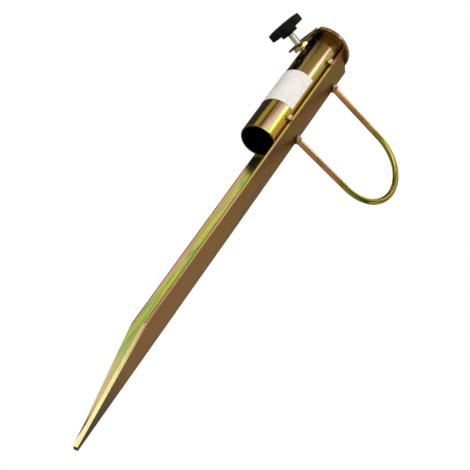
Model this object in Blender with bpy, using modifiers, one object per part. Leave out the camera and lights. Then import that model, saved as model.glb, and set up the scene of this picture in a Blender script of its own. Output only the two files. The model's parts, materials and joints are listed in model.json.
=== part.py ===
"""Ground spike for a garden umbrella: a pole socket in a pointed steel angle, with a U handle.

The origin is on the socket's axis, level with the soil when the spike is driven in.
+Z points up, out of the soil. +X points from the socket to the handle, so the clamp
screw comes in from -X, leaning a little downward. Its pieces are placed in a clamp frame,
whose origin is where the screw's axis meets the socket's wall and whose +X is that axis.
"""

import math

import bmesh
import bpy
from mathutils import Matrix

# Clearance between faces that touch on the real object
GAP = 0.0003

# Heights, measured from the soil line
TOP_HEIGHT = 0.140
TOTAL_LENGTH = 0.567

# Pole socket, a plain steel tube
TUBE_RADIUS = 0.019
TUBE_WALL = 0.002
TUBE_LENGTH = 0.166
TUBE_RECESS = 0.0012

# Rolled steel angle: its heel is the ridge that carries the handle
LEG_WIDTH = 0.030
LEG_THICKNESS = 0.004
ROOT_RADIUS = 0.005
TOE_RADIUS = 0.0022
NEAR_TAPER_LENGTH = 0.131
FAR_TAPER_LENGTH = 0.151
POINT_MARGIN = 0.0004

# Collar plate round the top of the socket
COLLAR_RADIUS = 0.0272
COLLAR_THICKNESS = 0.0042
COLLAR_CHAMFER = 0.0005

# Clamp frame: the lug is bent outward, so the screw points down into the socket
CLAMP_LEAN = math.radians(6)
SCREW_DEPTH = 0.0264

# Lug that hangs from the collar and traps the nut
LUG_THICKNESS = 0.0018
LUG_HALF_WIDTH = 0.0135
LUG_TOP_DROP = 0.0030
LUG_EDGE_BEVEL = 0.0003

# Clamp screw, M8 with a right-hand thread
SCREW_RADIUS = 0.0039
SCREW_CLEARANCE = 0.0004
SCREW_PITCH = 0.00125
TURNS_IN = 10
SCREW_LENGTH = 0.0225
SCREW_IN_KNOB = 0.0085
SCREW_TIP_CHAMFER = 0.0006
DOG_RADIUS = 0.0028
DOG_LENGTH = 0.0025
DOG_CHAMFER = 0.0004

# Thin square nut
NUT_ACROSS_FLATS = 0.013
NUT_HEIGHT = 0.0045

# Star knob
KNOB_RADIUS = 0.0195
KNOB_THICKNESS = 0.0090
KNOB_EDGE = 0.0009
KNOB_DOME = 0.0005
KNOB_CROWN_SHARE = 0.6
KNOB_CROWN_DROP_SHARE = 0.3
KNOB_LOBES = 8
KNOB_SCALLOP_RADIUS = 0.0045
KNOB_SCALLOP_DEPTH = 0.0018
HUB_RADIUS = 0.0095
HUB_LENGTH = 0.0040

# U handle, bent from round bar
HANDLE_BAR_RADIUS = 0.0031
HANDLE_UPPER_DEPTH = 0.0343
HANDLE_SPACING = 0.0914
HANDLE_BEND_RADIUS = 0.0440
HANDLE_REACH = 0.1142

# Paper label on the socket
LABEL_THICKNESS = 0.0002
LABEL_HEIGHT = 0.0514
LABEL_TOP_DEPTH = 0.0696
LABEL_HALF_ANGLE = math.radians(104)

# Weld beads
TACK_RADIUS = 0.0026
TACK_HALF_LENGTH = 0.0036
TACK_DEPTHS = (0.032, 0.132)
HANDLE_WELD_WIDTH = 0.0013
HANDLE_WELD_LENGTH = 0.0022
WELD_RIM_SHARE = 0.3
WELD_CREST_SHARE = 0.75
WELD_SHOULDER_SHARE = 0.25
LUG_WELD_RADIUS = 0.0012
LUG_WELD_LENGTH = 0.018
COLLAR_WELD_WIDTH = 0.0013

ROUND_STEPS = 96
MEDIUM_STEPS = 64
SMALL_STEPS = 40
ARC_STEPS = 6
KNOB_ARC_STEPS = 3
MERGE = 0.00001
SHARP_ANGLE = math.radians(32)

# Turns an object's Z axis to its parent's X axis
ALONG_X = (0, math.radians(90), 0)

# Places that follow from the sizes above
INNER_FACE = TUBE_RADIUS + GAP
SPINE_X = (INNER_FACE + LEG_THICKNESS) * math.sqrt(2)
COLLAR_BOTTOM = TOP_HEIGHT - COLLAR_THICKNESS
ANGLE_TOP = COLLAR_BOTTOM - GAP
POINT_HEIGHT = TOP_HEIGHT - TOTAL_LENGTH
TUBE_TOP = TOP_HEIGHT - TUBE_RECESS
TUBE_BOTTOM = TOP_HEIGHT - TUBE_LENGTH
SCREW_HEIGHT = TOP_HEIGHT - SCREW_DEPTH
SCREW_HOLE_RADIUS = SCREW_RADIUS + SCREW_CLEARANCE
HANDLE_MIDDLE = TOP_HEIGHT - HANDLE_UPPER_DEPTH - HANDLE_SPACING / 2

# Places along the clamp frame's X axis
NUT_INNER_X = -(GAP + NUT_ACROSS_FLATS / 2 * math.tan(CLAMP_LEAN))
NUT_OUTER_X = NUT_INNER_X - NUT_HEIGHT
LUG_INNER_X = NUT_OUTER_X - GAP
LUG_OUTER_X = LUG_INNER_X - LUG_THICKNESS
HUB_END_X = LUG_OUTER_X - GAP - TURNS_IN * SCREW_PITCH
SCREW_END_X = HUB_END_X + SCREW_LENGTH
KNOB_INNER_X = HUB_END_X - HUB_LENGTH
KNOB_OUTER_X = KNOB_INNER_X - KNOB_THICKNESS

STEEL_YELLOW = ((0.42, 0.33, 0.10, 1.0), 0.30, 1.0)
STEEL_COPPER = ((0.55, 0.33, 0.15, 1.0), 0.32, 1.0)
STEEL_GOLD = ((0.60, 0.44, 0.18, 1.0), 0.28, 1.0)
STEEL_SILVER = ((0.66, 0.68, 0.60, 1.0), 0.25, 1.0)
WELD_STEEL = ((0.62, 0.52, 0.38, 1.0), 0.40, 1.0)
BLACK_PLASTIC = ((0.012, 0.012, 0.011, 1.0), 0.50, 0.0)
WHITE_PAPER = ((0.80, 0.77, 0.74, 1.0), 0.75, 0.0)


def clear_scene():
    for obj in list(bpy.data.objects):
        bpy.data.objects.remove(obj, do_unlink=True)


def new_collection(name):
    collection = bpy.data.collections.new(name)
    bpy.context.scene.collection.children.link(collection)
    return collection


def set_material(obj, look):
    colour, roughness, metallic = look
    material = bpy.data.materials.new(obj.name)
    material.use_nodes = True
    shader = material.node_tree.nodes["Principled BSDF"]
    shader.inputs["Base Color"].default_value = colour
    shader.inputs["Roughness"].default_value = roughness
    shader.inputs["Metallic"].default_value = metallic
    obj.data.materials.clear()
    obj.data.materials.append(material)


def add_object(name, data, collection, location=(0, 0, 0), rotation=(0, 0, 0), parent=None):
    obj = bpy.data.objects.new(name, data)
    obj.parent = parent
    obj.location = location
    obj.rotation_euler = rotation
    collection.objects.link(obj)
    return obj


def hide_as_cutter(obj):
    obj.hide_render = True
    obj.display_type = "WIRE"
    return obj


def add_cutter(name, data, location=(0, 0, 0), rotation=(0, 0, 0), parent=None):
    return hide_as_cutter(add_object(name, data, CUTTERS, location, rotation, parent))


def applied(obj):
    """Turns the object into the mesh that its curve or modifiers give, shaded smooth between sharp edges."""
    bpy.context.view_layer.update()
    evaluated = obj.evaluated_get(bpy.context.evaluated_depsgraph_get())
    mesh = bpy.data.meshes.new_from_object(evaluated)
    mesh.name = obj.name
    shell = bmesh.new()
    shell.from_mesh(mesh)
    bmesh.ops.remove_doubles(shell, verts=shell.verts, dist=MERGE)
    shell.to_mesh(mesh)
    shell.free()
    if obj.type == "MESH":
        obj.modifiers.clear()
        obj.data = mesh
        solid = obj
    else:
        name = obj.name
        parent = obj.parent
        collection = obj.users_collection[0]
        place = obj.matrix_world.copy()
        bpy.data.objects.remove(obj, do_unlink=True)
        solid = add_object(name, mesh, collection, parent=parent)
        solid.matrix_world = place
    mesh.shade_smooth()
    mesh.set_sharp_from_angle(angle=SHARP_ANGLE)
    return solid


def turned(
    name, profile, steps, collection, location=(0, 0, 0), rotation=(0, 0, 0), parent=None, closed=False
):
    """Turns a profile of (radius, height) points, listed down the outer side, about the object's Z axis."""
    mesh = bpy.data.meshes.new(name)
    points = [(radius, 0, height) for radius, height in profile]
    edges = [(i, i + 1) for i in range(len(points) - 1)]
    if closed:
        edges.append((len(points) - 1, 0))
    mesh.from_pydata(points, edges, [])
    obj = add_object(name, mesh, collection, location, rotation, parent)
    screw = obj.modifiers.new("Turn", "SCREW")
    screw.steps = steps
    screw.render_steps = steps
    screw.use_merge_vertices = True
    screw.merge_threshold = MERGE
    return obj


def flat_plate(name, outlines, thickness, location=(0, 0, 0), rotation=(0, 0, 0), parent=None):
    """Extrudes closed flat outlines to both sides of the object's XY plane. An inner outline is a hole."""
    curve = bpy.data.curves.new(name, "CURVE")
    curve.dimensions = "2D"
    curve.fill_mode = "BOTH"
    curve.extrude = thickness / 2
    for outline in outlines:
        spline = curve.splines.new("POLY")
        spline.points.add(len(outline) - 1)
        for point, (x, y) in zip(spline.points, outline):
            point.co = (x, y, 0, 1)
        spline.use_cyclic_u = True
    return applied(add_object(name, curve, PARTS, location, rotation, parent))


def bar(name, points, radius, resolution=6, parent=None):
    """A round bar along a line of points, with flat ends."""
    curve = bpy.data.curves.new(name, "CURVE")
    curve.dimensions = "3D"
    curve.bevel_depth = radius
    curve.bevel_resolution = resolution
    curve.use_fill_caps = True
    spline = curve.splines.new("POLY")
    spline.points.add(len(points) - 1)
    for point, place in zip(spline.points, points):
        point.co = (*place, 1)
    return applied(add_object(name, curve, PARTS, parent=parent))


def arc(centre, radius, start, end, steps):
    """Points of an arc in a plane, both ends included, with angles in radians."""
    angles = [start + (end - start) * i / steps for i in range(steps + 1)]
    return [(centre[0] + radius * math.cos(a), centre[1] + radius * math.sin(a)) for a in angles]


def cylinder_mesh(name, radius, length, steps):
    mesh = bpy.data.meshes.new(name)
    shape = bmesh.new()
    bmesh.ops.create_cone(
        shape, cap_ends=True, segments=steps, radius1=radius, radius2=radius, depth=length
    )
    shape.to_mesh(mesh)
    shape.free()
    return mesh


def box_mesh(name, size):
    mesh = bpy.data.meshes.new(name)
    shape = bmesh.new()
    bmesh.ops.create_cube(shape, size=1)
    bmesh.ops.scale(shape, vec=size, verts=shape.verts)
    shape.to_mesh(mesh)
    shape.free()
    return mesh


def combine(obj, other, operation="DIFFERENCE"):
    modifier = obj.modifiers.new(operation.title(), "BOOLEAN")
    modifier.operation = operation
    modifier.solver = "EXACT"
    modifier.object = other


def bevel_edges(obj, width, segments=1):
    modifier = obj.modifiers.new("Edges", "BEVEL")
    modifier.width = width
    modifier.segments = segments
    modifier.limit_method = "ANGLE"
    modifier.angle_limit = math.radians(50)


def screw_hole(name, outer_x, inner_x, clamp):
    """A cutter along the screw's axis, between two places in the clamp frame."""
    mesh = cylinder_mesh(name, SCREW_HOLE_RADIUS, inner_x - outer_x, SMALL_STEPS)
    return add_cutter(name, mesh, ((outer_x + inner_x) / 2, 0, 0), ALONG_X, clamp)


def leg_taper_cutter(name, side, taper_length):
    """A block that cuts one leg from its full width down to the point. Side is +1 or -1 in Y."""
    point_width = LEG_THICKNESS + POINT_MARGIN
    run = LEG_WIDTH - point_width
    slope = math.atan2(run, taper_length)
    depth = 2 * LEG_WIDTH
    length = 2 * math.hypot(run, taper_length)
    mesh = box_mesh(name, (depth, 4 * LEG_WIDTH, length))
    heading = side * math.radians(135)
    along_leg = (LEG_WIDTH + point_width) / 2 + depth / 2 * math.cos(slope)
    height = POINT_HEIGHT + taper_length / 2 - depth / 2 * math.sin(slope)
    place = (
        SPINE_X + along_leg * math.cos(heading),
        along_leg * math.sin(heading),
        height,
    )
    return add_cutter(name, mesh, place, (0, slope, heading))


def make_spike_angle():
    """The V-shaped bar: an L section with a rounded root and toes, cut to a point."""
    root = LEG_THICKNESS + ROOT_RADIUS
    toe_low = LEG_THICKNESS - TOE_RADIUS
    toe_out = LEG_WIDTH - TOE_RADIUS
    quarter = math.radians(90)
    outline = [(0, 0), (LEG_WIDTH, 0)]
    outline += arc((toe_out, toe_low), TOE_RADIUS, 0, quarter, ARC_STEPS)
    outline += arc((root, root), ROOT_RADIUS, 3 * quarter, 2 * quarter, ARC_STEPS)
    outline += arc((toe_low, toe_out), TOE_RADIUS, 0, quarter, ARC_STEPS)
    outline += [(0, LEG_WIDTH)]
    length = ANGLE_TOP - POINT_HEIGHT
    obj = flat_plate(
        "spike_angle",
        [outline],
        length,
        (SPINE_X, 0, POINT_HEIGHT + length / 2),
        (0, 0, math.radians(135)),
    )
    combine(obj, leg_taper_cutter("cut_taper_far", 1, FAR_TAPER_LENGTH))
    combine(obj, leg_taper_cutter("cut_taper_near", -1, NEAR_TAPER_LENGTH))
    set_material(applied(obj), STEEL_YELLOW)


def make_socket_tube(clamp):
    """The tube that holds the pole, with a hole for the clamp screw in its -X wall."""
    inner = TUBE_RADIUS - TUBE_WALL
    profile = [
        (TUBE_RADIUS, TUBE_TOP),
        (TUBE_RADIUS, TUBE_BOTTOM),
        (inner, TUBE_BOTTOM),
        (inner, TUBE_TOP),
    ]
    obj = turned("socket_tube", profile, ROUND_STEPS, PARTS, closed=True)
    combine(obj, screw_hole("cut_tube_hole", -2 * TUBE_WALL, 3 * TUBE_WALL, clamp))
    set_material(applied(obj), STEEL_YELLOW)


def make_top_collar(clamp):
    """The round plate at the top, cut flat where the lug stands."""
    bore = TUBE_RADIUS + GAP
    edge = COLLAR_CHAMFER
    profile = [
        (bore, TOP_HEIGHT),
        (COLLAR_RADIUS - edge, TOP_HEIGHT),
        (COLLAR_RADIUS, TOP_HEIGHT - edge),
        (COLLAR_RADIUS, COLLAR_BOTTOM + edge),
        (COLLAR_RADIUS - edge, COLLAR_BOTTOM),
        (bore, COLLAR_BOTTOM),
    ]
    obj = turned("top_collar", profile, ROUND_STEPS, PARTS, closed=True)
    size = 2 * COLLAR_RADIUS
    block = box_mesh("cut_collar_flat", (size, 2 * size, 2 * size))
    place = (LUG_INNER_X + GAP - size / 2, 0, 0)
    combine(obj, add_cutter("cut_collar_flat", block, place, parent=clamp))
    set_material(applied(obj), STEEL_YELLOW)


def make_screw_lug(clamp):
    """The plate that hangs from the collar, with a round end about the screw hole."""
    top = TOP_HEIGHT - LUG_TOP_DROP - SCREW_HEIGHT
    rise = (top + LUG_OUTER_X * math.sin(CLAMP_LEAN)) / math.cos(CLAMP_LEAN)
    outline = [(LUG_HALF_WIDTH, rise), (-LUG_HALF_WIDTH, rise)]
    outline += arc((0, 0), LUG_HALF_WIDTH, math.radians(180), math.radians(360), 4 * ARC_STEPS)
    hole = arc((0, 0), SCREW_HOLE_RADIUS, 0, math.radians(360), SMALL_STEPS)[:-1]
    place = ((LUG_INNER_X + LUG_OUTER_X) / 2, 0, 0)
    facing_x = (math.radians(90), 0, math.radians(90))
    obj = flat_plate("screw_lug", [outline, hole], LUG_THICKNESS, place, facing_x, clamp)
    bevel_edges(obj, LUG_EDGE_BEVEL)
    set_material(applied(obj), STEEL_YELLOW)


def make_clamp_nut(clamp):
    """The nut between tube and lug: a square whose corners are turned off on its outer face."""
    corner = NUT_ACROSS_FLATS / math.sqrt(2)
    flat = NUT_ACROSS_FLATS / 2
    half = NUT_HEIGHT / 2
    slope = (corner - flat) * math.tan(math.radians(30))
    place = ((NUT_INNER_X + NUT_OUTER_X) / 2, 0, 0)
    block = box_mesh("clamp_nut", (NUT_ACROSS_FLATS, NUT_ACROSS_FLATS, NUT_HEIGHT))
    obj = add_object("clamp_nut", block, PARTS, place, ALONG_X, clamp)
    round_off = [
        (0, half + GAP),
        (corner + GAP, half + GAP),
        (corner + GAP, slope + GAP - half),
        (flat, -half),
        (flat - GAP, -half - GAP),
        (0, -half - GAP),
    ]
    shape = turned("keep_nut_corners", round_off, SMALL_STEPS, CUTTERS, place, ALONG_X, clamp)
    combine(obj, hide_as_cutter(applied(shape)), "INTERSECT")
    combine(obj, screw_hole("cut_nut_hole", NUT_OUTER_X - NUT_HEIGHT, NUT_INNER_X + NUT_HEIGHT, clamp))
    set_material(applied(obj), STEEL_GOLD)


def make_handle():
    """The U of round bar that stands out from the ridge, its legs closing in a little to meet the bend."""
    start_x = SPINE_X + GAP
    middle_x = SPINE_X + HANDLE_REACH - HANDLE_BEND_RADIUS
    leg_run = middle_x - start_x
    root = HANDLE_SPACING / 2
    tangent = math.atan2(leg_run, root) + math.asin(HANDLE_BEND_RADIUS / math.hypot(leg_run, root))
    points = [(start_x, 0, HANDLE_MIDDLE + root)]
    bend = arc((middle_x, HANDLE_MIDDLE), HANDLE_BEND_RADIUS, tangent, -tangent, 6 * ARC_STEPS)
    points += [(x, 0, z) for x, z in bend]
    points.append((start_x, 0, HANDLE_MIDDLE - root))
    set_material(bar("handle_bar", points, HANDLE_BAR_RADIUS), STEEL_COPPER)


def make_handle_weld(name, height):
    """The fillet weld round one end of the handle, fitted over the ridge."""
    inner = HANDLE_BAR_RADIUS + GAP
    outer = inner + HANDLE_WELD_WIDTH
    base_x = SPINE_X - outer
    top_x = SPINE_X + HANDLE_WELD_LENGTH
    shoulder_x = SPINE_X + WELD_SHOULDER_SHARE * HANDLE_WELD_LENGTH
    profile = [
        (inner, top_x),
        (inner + WELD_RIM_SHARE * HANDLE_WELD_WIDTH, top_x),
        (inner + WELD_CREST_SHARE * HANDLE_WELD_WIDTH, (top_x + shoulder_x) / 2),
        (outer, shoulder_x),
        (outer, base_x),
        (inner, base_x),
    ]
    obj = turned(name, profile, SMALL_STEPS, PARTS, (0, 0, height), ALONG_X, closed=True)
    size = 4 * outer
    block = box_mesh("cut_" + name, (size, size, size))
    corner_x = SPINE_X + GAP * math.sqrt(2)
    place = (corner_x - size / math.sqrt(2), 0, height)
    combine(obj, add_cutter("cut_" + name, block, place, (0, 0, math.radians(45))))
    set_material(applied(obj), WELD_STEEL)


def make_tube_tack(name, side, depth):
    """A tack weld in the groove between the tube and one toe of the angle."""
    along = LEG_WIDTH - (TUBE_RADIUS + GAP + LEG_THICKNESS) + GAP + TACK_RADIUS
    across = math.sqrt((TUBE_RADIUS + GAP + TACK_RADIUS) ** 2 - along**2)
    place = (
        (across - along) / math.sqrt(2),
        side * (across + along) / math.sqrt(2),
        TOP_HEIGHT - depth,
    )
    mesh = bpy.data.meshes.new(name)
    shape = bmesh.new()
    bmesh.ops.create_uvsphere(shape, u_segments=16, v_segments=8, radius=1)
    size = (TACK_RADIUS, TACK_RADIUS, TACK_HALF_LENGTH)
    bmesh.ops.transform(shape, matrix=Matrix.Diagonal((*size, 1)), verts=shape.verts)
    shape.to_mesh(mesh)
    shape.free()
    obj = add_object(name, mesh, PARTS, place)
    set_material(applied(obj), WELD_STEEL)


def make_collar_weld():
    """The weld that fills the step between the tube's top and the collar's bore."""
    outer = TUBE_RADIUS
    inner = outer - COLLAR_WELD_WIDTH
    low = TUBE_TOP + GAP
    high = TOP_HEIGHT
    profile = [(outer, high), (outer, low), (inner, low), ((outer + inner) / 2, (low + 2 * high) / 3)]
    obj = turned("weld_collar", profile, MEDIUM_STEPS, PARTS, closed=True)
    set_material(applied(obj), WELD_STEEL)


def make_lug_weld(clamp):
    """The bead in the corner under the collar, along the lug's inner face."""
    x = LUG_INNER_X + GAP + LUG_WELD_RADIUS
    top = COLLAR_BOTTOM - GAP - LUG_WELD_RADIUS - SCREW_HEIGHT
    z = (top + x * math.sin(CLAMP_LEAN)) / math.cos(CLAMP_LEAN)
    half = LUG_WELD_LENGTH / 2
    obj = bar("weld_lug", [(x, -half, z), (x, half, z)], LUG_WELD_RADIUS, 4, clamp)
    set_material(obj, WELD_STEEL)


def make_label():
    """The paper label, wrapped round the free side of the socket."""
    inner = TUBE_RADIUS + GAP
    outer = inner + LABEL_THICKNESS
    start = math.pi - LABEL_HALF_ANGLE
    end = math.pi + LABEL_HALF_ANGLE
    outline = arc((0, 0), outer, start, end, ROUND_STEPS // 2)
    outline += arc((0, 0), inner, end, start, ROUND_STEPS // 2)
    middle = TOP_HEIGHT - LABEL_TOP_DEPTH - LABEL_HEIGHT / 2
    obj = flat_plate("paper_label", [outline], LABEL_HEIGHT, (0, 0, middle))
    set_material(obj, WHITE_PAPER)


def make_star_knob(pivot):
    """The knob: a domed disc with scallops round its rim, and a hub with a blind bore for the screw."""
    bore = SCREW_RADIUS + GAP
    bore_end_x = HUB_END_X - SCREW_IN_KNOB - GAP
    rim_x = KNOB_OUTER_X + KNOB_DOME
    profile = [(0, bore_end_x), (bore, bore_end_x), (bore, HUB_END_X), (HUB_RADIUS - GAP, HUB_END_X)]
    profile += [(HUB_RADIUS, HUB_END_X - GAP), (HUB_RADIUS, KNOB_INNER_X)]
    inner_edge = (KNOB_RADIUS - KNOB_EDGE, KNOB_INNER_X - KNOB_EDGE)
    outer_edge = (KNOB_RADIUS - KNOB_EDGE, rim_x + KNOB_EDGE)
    quarter = math.radians(90)
    profile += arc(inner_edge, KNOB_EDGE, quarter, 0, KNOB_ARC_STEPS)
    profile += arc(outer_edge, KNOB_EDGE, 0, -quarter, KNOB_ARC_STEPS)
    crown = (KNOB_CROWN_SHARE * KNOB_RADIUS, KNOB_OUTER_X + KNOB_CROWN_DROP_SHARE * KNOB_DOME)
    profile += [crown, (0, KNOB_OUTER_X)]
    obj = turned("star_knob", profile, MEDIUM_STEPS, PARTS, (0, 0, 0), ALONG_X, pivot)
    reach = KNOB_RADIUS - KNOB_SCALLOP_DEPTH + KNOB_SCALLOP_RADIUS
    middle_x = (KNOB_INNER_X + KNOB_OUTER_X) / 2
    scallop = cylinder_mesh("cut_scallop", KNOB_SCALLOP_RADIUS, 2 * KNOB_THICKNESS, 4 * ARC_STEPS)
    for i in range(KNOB_LOBES):
        angle = math.radians(360) * (i + 0.5) / KNOB_LOBES
        place = (middle_x, reach * math.sin(angle), reach * math.cos(angle))
        combine(obj, add_cutter(f"cut_scallop_{i + 1}", scallop, place, ALONG_X, pivot))
    set_material(applied(obj), BLACK_PLASTIC)


def make_screw_rod(pivot):
    """The threaded rod, as a plain cylinder of its thread's outer size."""
    start_x = HUB_END_X - SCREW_IN_KNOB
    profile = [
        (0, SCREW_END_X),
        (SCREW_RADIUS - SCREW_TIP_CHAMFER, SCREW_END_X),
        (SCREW_RADIUS, SCREW_END_X - SCREW_TIP_CHAMFER),
        (SCREW_RADIUS, start_x),
        (0, start_x),
    ]
    obj = turned("screw_rod", profile, SMALL_STEPS, PARTS, (0, 0, 0), ALONG_X, pivot)
    set_material(applied(obj), STEEL_SILVER)


def make_screw_point(pivot):
    """The reduced end of the screw that presses on the pole."""
    start_x = SCREW_END_X + GAP
    end_x = start_x + DOG_LENGTH
    profile = [
        (0, end_x),
        (DOG_RADIUS - DOG_CHAMFER, end_x),
        (DOG_RADIUS, end_x - DOG_CHAMFER),
        (DOG_RADIUS, start_x),
        (0, start_x),
    ]
    obj = turned("screw_point", profile, SMALL_STEPS, PARTS, (0, 0, 0), ALONG_X, pivot)
    set_material(applied(obj), STEEL_SILVER)


def make_clamp_screw(clamp):
    """The travel pivot slides along the clamp frame's X axis, and the turn pivot on it spins about it."""
    travel = add_object("screw_travel_pivot", None, PARTS, parent=clamp)
    turn = add_object("screw_turn_pivot", None, PARTS, parent=travel)
    make_screw_point(travel)
    make_screw_rod(turn)
    make_star_knob(turn)


def make_all():
    clamp = add_object("clamp_frame", None, PARTS, (-TUBE_RADIUS, 0, SCREW_HEIGHT), (0, CLAMP_LEAN, 0))
    make_spike_angle()
    make_socket_tube(clamp)
    make_top_collar(clamp)
    make_screw_lug(clamp)
    make_clamp_nut(clamp)
    make_handle()
    half_spacing = HANDLE_SPACING / 2
    make_handle_weld("weld_handle_upper", HANDLE_MIDDLE + half_spacing)
    make_handle_weld("weld_handle_lower", HANDLE_MIDDLE - half_spacing)
    for side_name, side in (("near", -1), ("far", 1)):
        for level, depth in zip(("upper", "lower"), TACK_DEPTHS):
            make_tube_tack(f"weld_tube_{side_name}_{level}", side, depth)
    make_collar_weld()
    make_lug_weld(clamp)
    make_label()
    make_clamp_screw(clamp)


clear_scene()
PARTS = new_collection("umbrella_ground_spike")
CUTTERS = new_collection("umbrella_ground_spike_cutters")
make_all()
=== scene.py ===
"""Looks of the umbrella ground spike: plated steel, black knob, paper label, studio and camera."""

import json
import math

import bmesh
import bpy
from mathutils import Matrix, Vector, noise


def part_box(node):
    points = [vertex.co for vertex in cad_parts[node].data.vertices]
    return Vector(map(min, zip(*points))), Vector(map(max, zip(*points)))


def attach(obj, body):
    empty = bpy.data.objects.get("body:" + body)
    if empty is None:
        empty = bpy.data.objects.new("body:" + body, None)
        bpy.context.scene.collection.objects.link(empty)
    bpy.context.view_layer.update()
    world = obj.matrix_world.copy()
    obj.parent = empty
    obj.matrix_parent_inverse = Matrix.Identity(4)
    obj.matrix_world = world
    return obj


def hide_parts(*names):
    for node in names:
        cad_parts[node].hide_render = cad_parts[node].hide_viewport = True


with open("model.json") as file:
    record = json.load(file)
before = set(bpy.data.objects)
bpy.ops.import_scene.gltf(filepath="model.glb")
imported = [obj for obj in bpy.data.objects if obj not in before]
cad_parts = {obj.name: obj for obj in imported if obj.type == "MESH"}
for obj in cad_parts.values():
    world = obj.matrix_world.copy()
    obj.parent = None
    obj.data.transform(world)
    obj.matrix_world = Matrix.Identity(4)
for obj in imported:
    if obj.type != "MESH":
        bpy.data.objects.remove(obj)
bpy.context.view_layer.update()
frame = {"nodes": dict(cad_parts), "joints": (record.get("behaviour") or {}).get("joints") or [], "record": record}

JOINTS = {joint["name"]: joint for joint in frame["joints"]}
BODIES = frame["record"]["behaviour"]["bodies"]
BODY_OF = {node: body for body, nodes in BODIES.items() for node in nodes}

# The clamp frame: X along the clamp screw into the socket, Y sideways, Z up along the lug
SCREW_PLACE = Vector(JOINTS["screw_turn"]["pos_m"])
SCREW_AXIS = Vector(JOINTS["screw_turn"]["axis"]).normalized()
SIDEWAYS = Vector((0, 1, 0))
LUG_UP = SCREW_AXIS.cross(SIDEWAYS)

WHITE = (1.0, 1.0, 1.0, 1.0)


# Camera

CAMERA_PLACE = (-0.27115, -1.14158, -1.14200)
CAMERA_LENS = 125.66
CAMERA_SENSOR_WIDTH = 36
CAMERA_CLIP_START = 0.01
CAMERA_RIGHT = Vector((0.692837, -0.572868, 0.437949))
CAMERA_UP = Vector((-0.693402, -0.362588, 0.622674))


def make_camera():
    """The photo's own view, from below the object."""
    data = bpy.data.cameras.new("camera")
    data.lens = CAMERA_LENS
    data.sensor_width = CAMERA_SENSOR_WIDTH
    data.clip_start = CAMERA_CLIP_START
    camera = bpy.data.objects.new("camera", data)
    bpy.context.scene.collection.objects.link(camera)
    back = CAMERA_RIGHT.cross(CAMERA_UP)
    turn = Matrix((CAMERA_RIGHT, CAMERA_UP, back)).transposed()
    camera.matrix_world = Matrix.Translation(CAMERA_PLACE) @ turn.to_4x4()
    bpy.context.scene.camera = camera


# Studio

LOOK_AT = Vector((0.02, 0.0, -0.05))
ROOM_COLOUR = (1.0, 0.95, 0.9, 1.0)
ROOM_STRENGTH = 0.13
FLOOR_HEIGHT = -1.35
FLOOR_HALF_WIDTH = 6
FLOOR_COLOUR = (0.86, 0.86, 0.85, 1.0)
FLOOR_SEEN_COLOUR = (0.90, 0.90, 0.89, 1.0)
FLOOR_ROUGHNESS = 0.8

# Name, azimuth and elevation in degrees, distance, width and height in metres, energy in watts.
# The panels, the strip and the front light make the photo's reflections. The rim and top lights
# model the sides, the back and the top.
LIGHTS = [
    ("left_panel", -107, 40, 2.0, 1.9, 1.4, 5.4),
    ("right_panel", -51, 40, 2.0, 1.9, 1.4, 5.4),
    ("strip_light", -80, 40, 1.7, 0.22, 1.3, 2.2),
    ("side_light", -166, 40, 2.6, 1.0, 1.4, 4.2),
    ("ridge_light", 15, 40, 1.9, 1.4, 1.4, 2.6),
    ("front_light", -112, -6, 2.2, 2.4, 1.2, 33),
    ("rim_light_350", -10, 4, 2.2, 1.2, 1.0, 6),
    ("rim_light_60", 60, 4, 2.2, 1.2, 1.0, 6),
    ("rim_light_120", 120, 4, 2.2, 1.2, 1.0, 6),
    ("rim_light_190", 190, 4, 2.2, 1.2, 1.0, 6),
    ("top_light", 30, 80, 2.0, 1.2, 1.2, 9),
]


def make_softbox(name, azimuth, elevation, distance, width, height, energy):
    """A rectangular light that faces the object from a direction given in degrees."""
    data = bpy.data.lights.new(name, "AREA")
    data.shape = "RECTANGLE"
    data.size = width
    data.size_y = height
    data.energy = energy
    light = bpy.data.objects.new(name, data)
    bpy.context.scene.collection.objects.link(light)
    around, up = math.radians(azimuth), math.radians(elevation)
    level = math.cos(up)
    away = Vector((math.cos(around) * level, math.sin(around) * level, math.sin(up)))
    light.location = LOOK_AT + distance * away
    light.rotation_euler = away.to_track_quat("Z", "Y").to_euler()
    light.visible_camera = False


def make_world():
    """White behind the object, and a dimmer room in what the metal mirrors."""
    world = bpy.data.worlds.new("studio")
    bpy.context.scene.world = world
    world.use_nodes = True
    nodes, links = world.node_tree.nodes, world.node_tree.links
    nodes.clear()
    seen = nodes.new("ShaderNodeBackground")
    seen.inputs["Color"].default_value = WHITE
    room = nodes.new("ShaderNodeBackground")
    room.inputs["Color"].default_value = ROOM_COLOUR
    room.inputs["Strength"].default_value = ROOM_STRENGTH
    path = nodes.new("ShaderNodeLightPath")
    mix = nodes.new("ShaderNodeMixShader")
    out = nodes.new("ShaderNodeOutputWorld")
    links.new(path.outputs["Is Camera Ray"], mix.inputs["Fac"])
    links.new(room.outputs["Background"], mix.inputs[1])
    links.new(seen.outputs["Background"], mix.inputs[2])
    links.new(mix.outputs["Shader"], out.inputs["Surface"])


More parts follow.
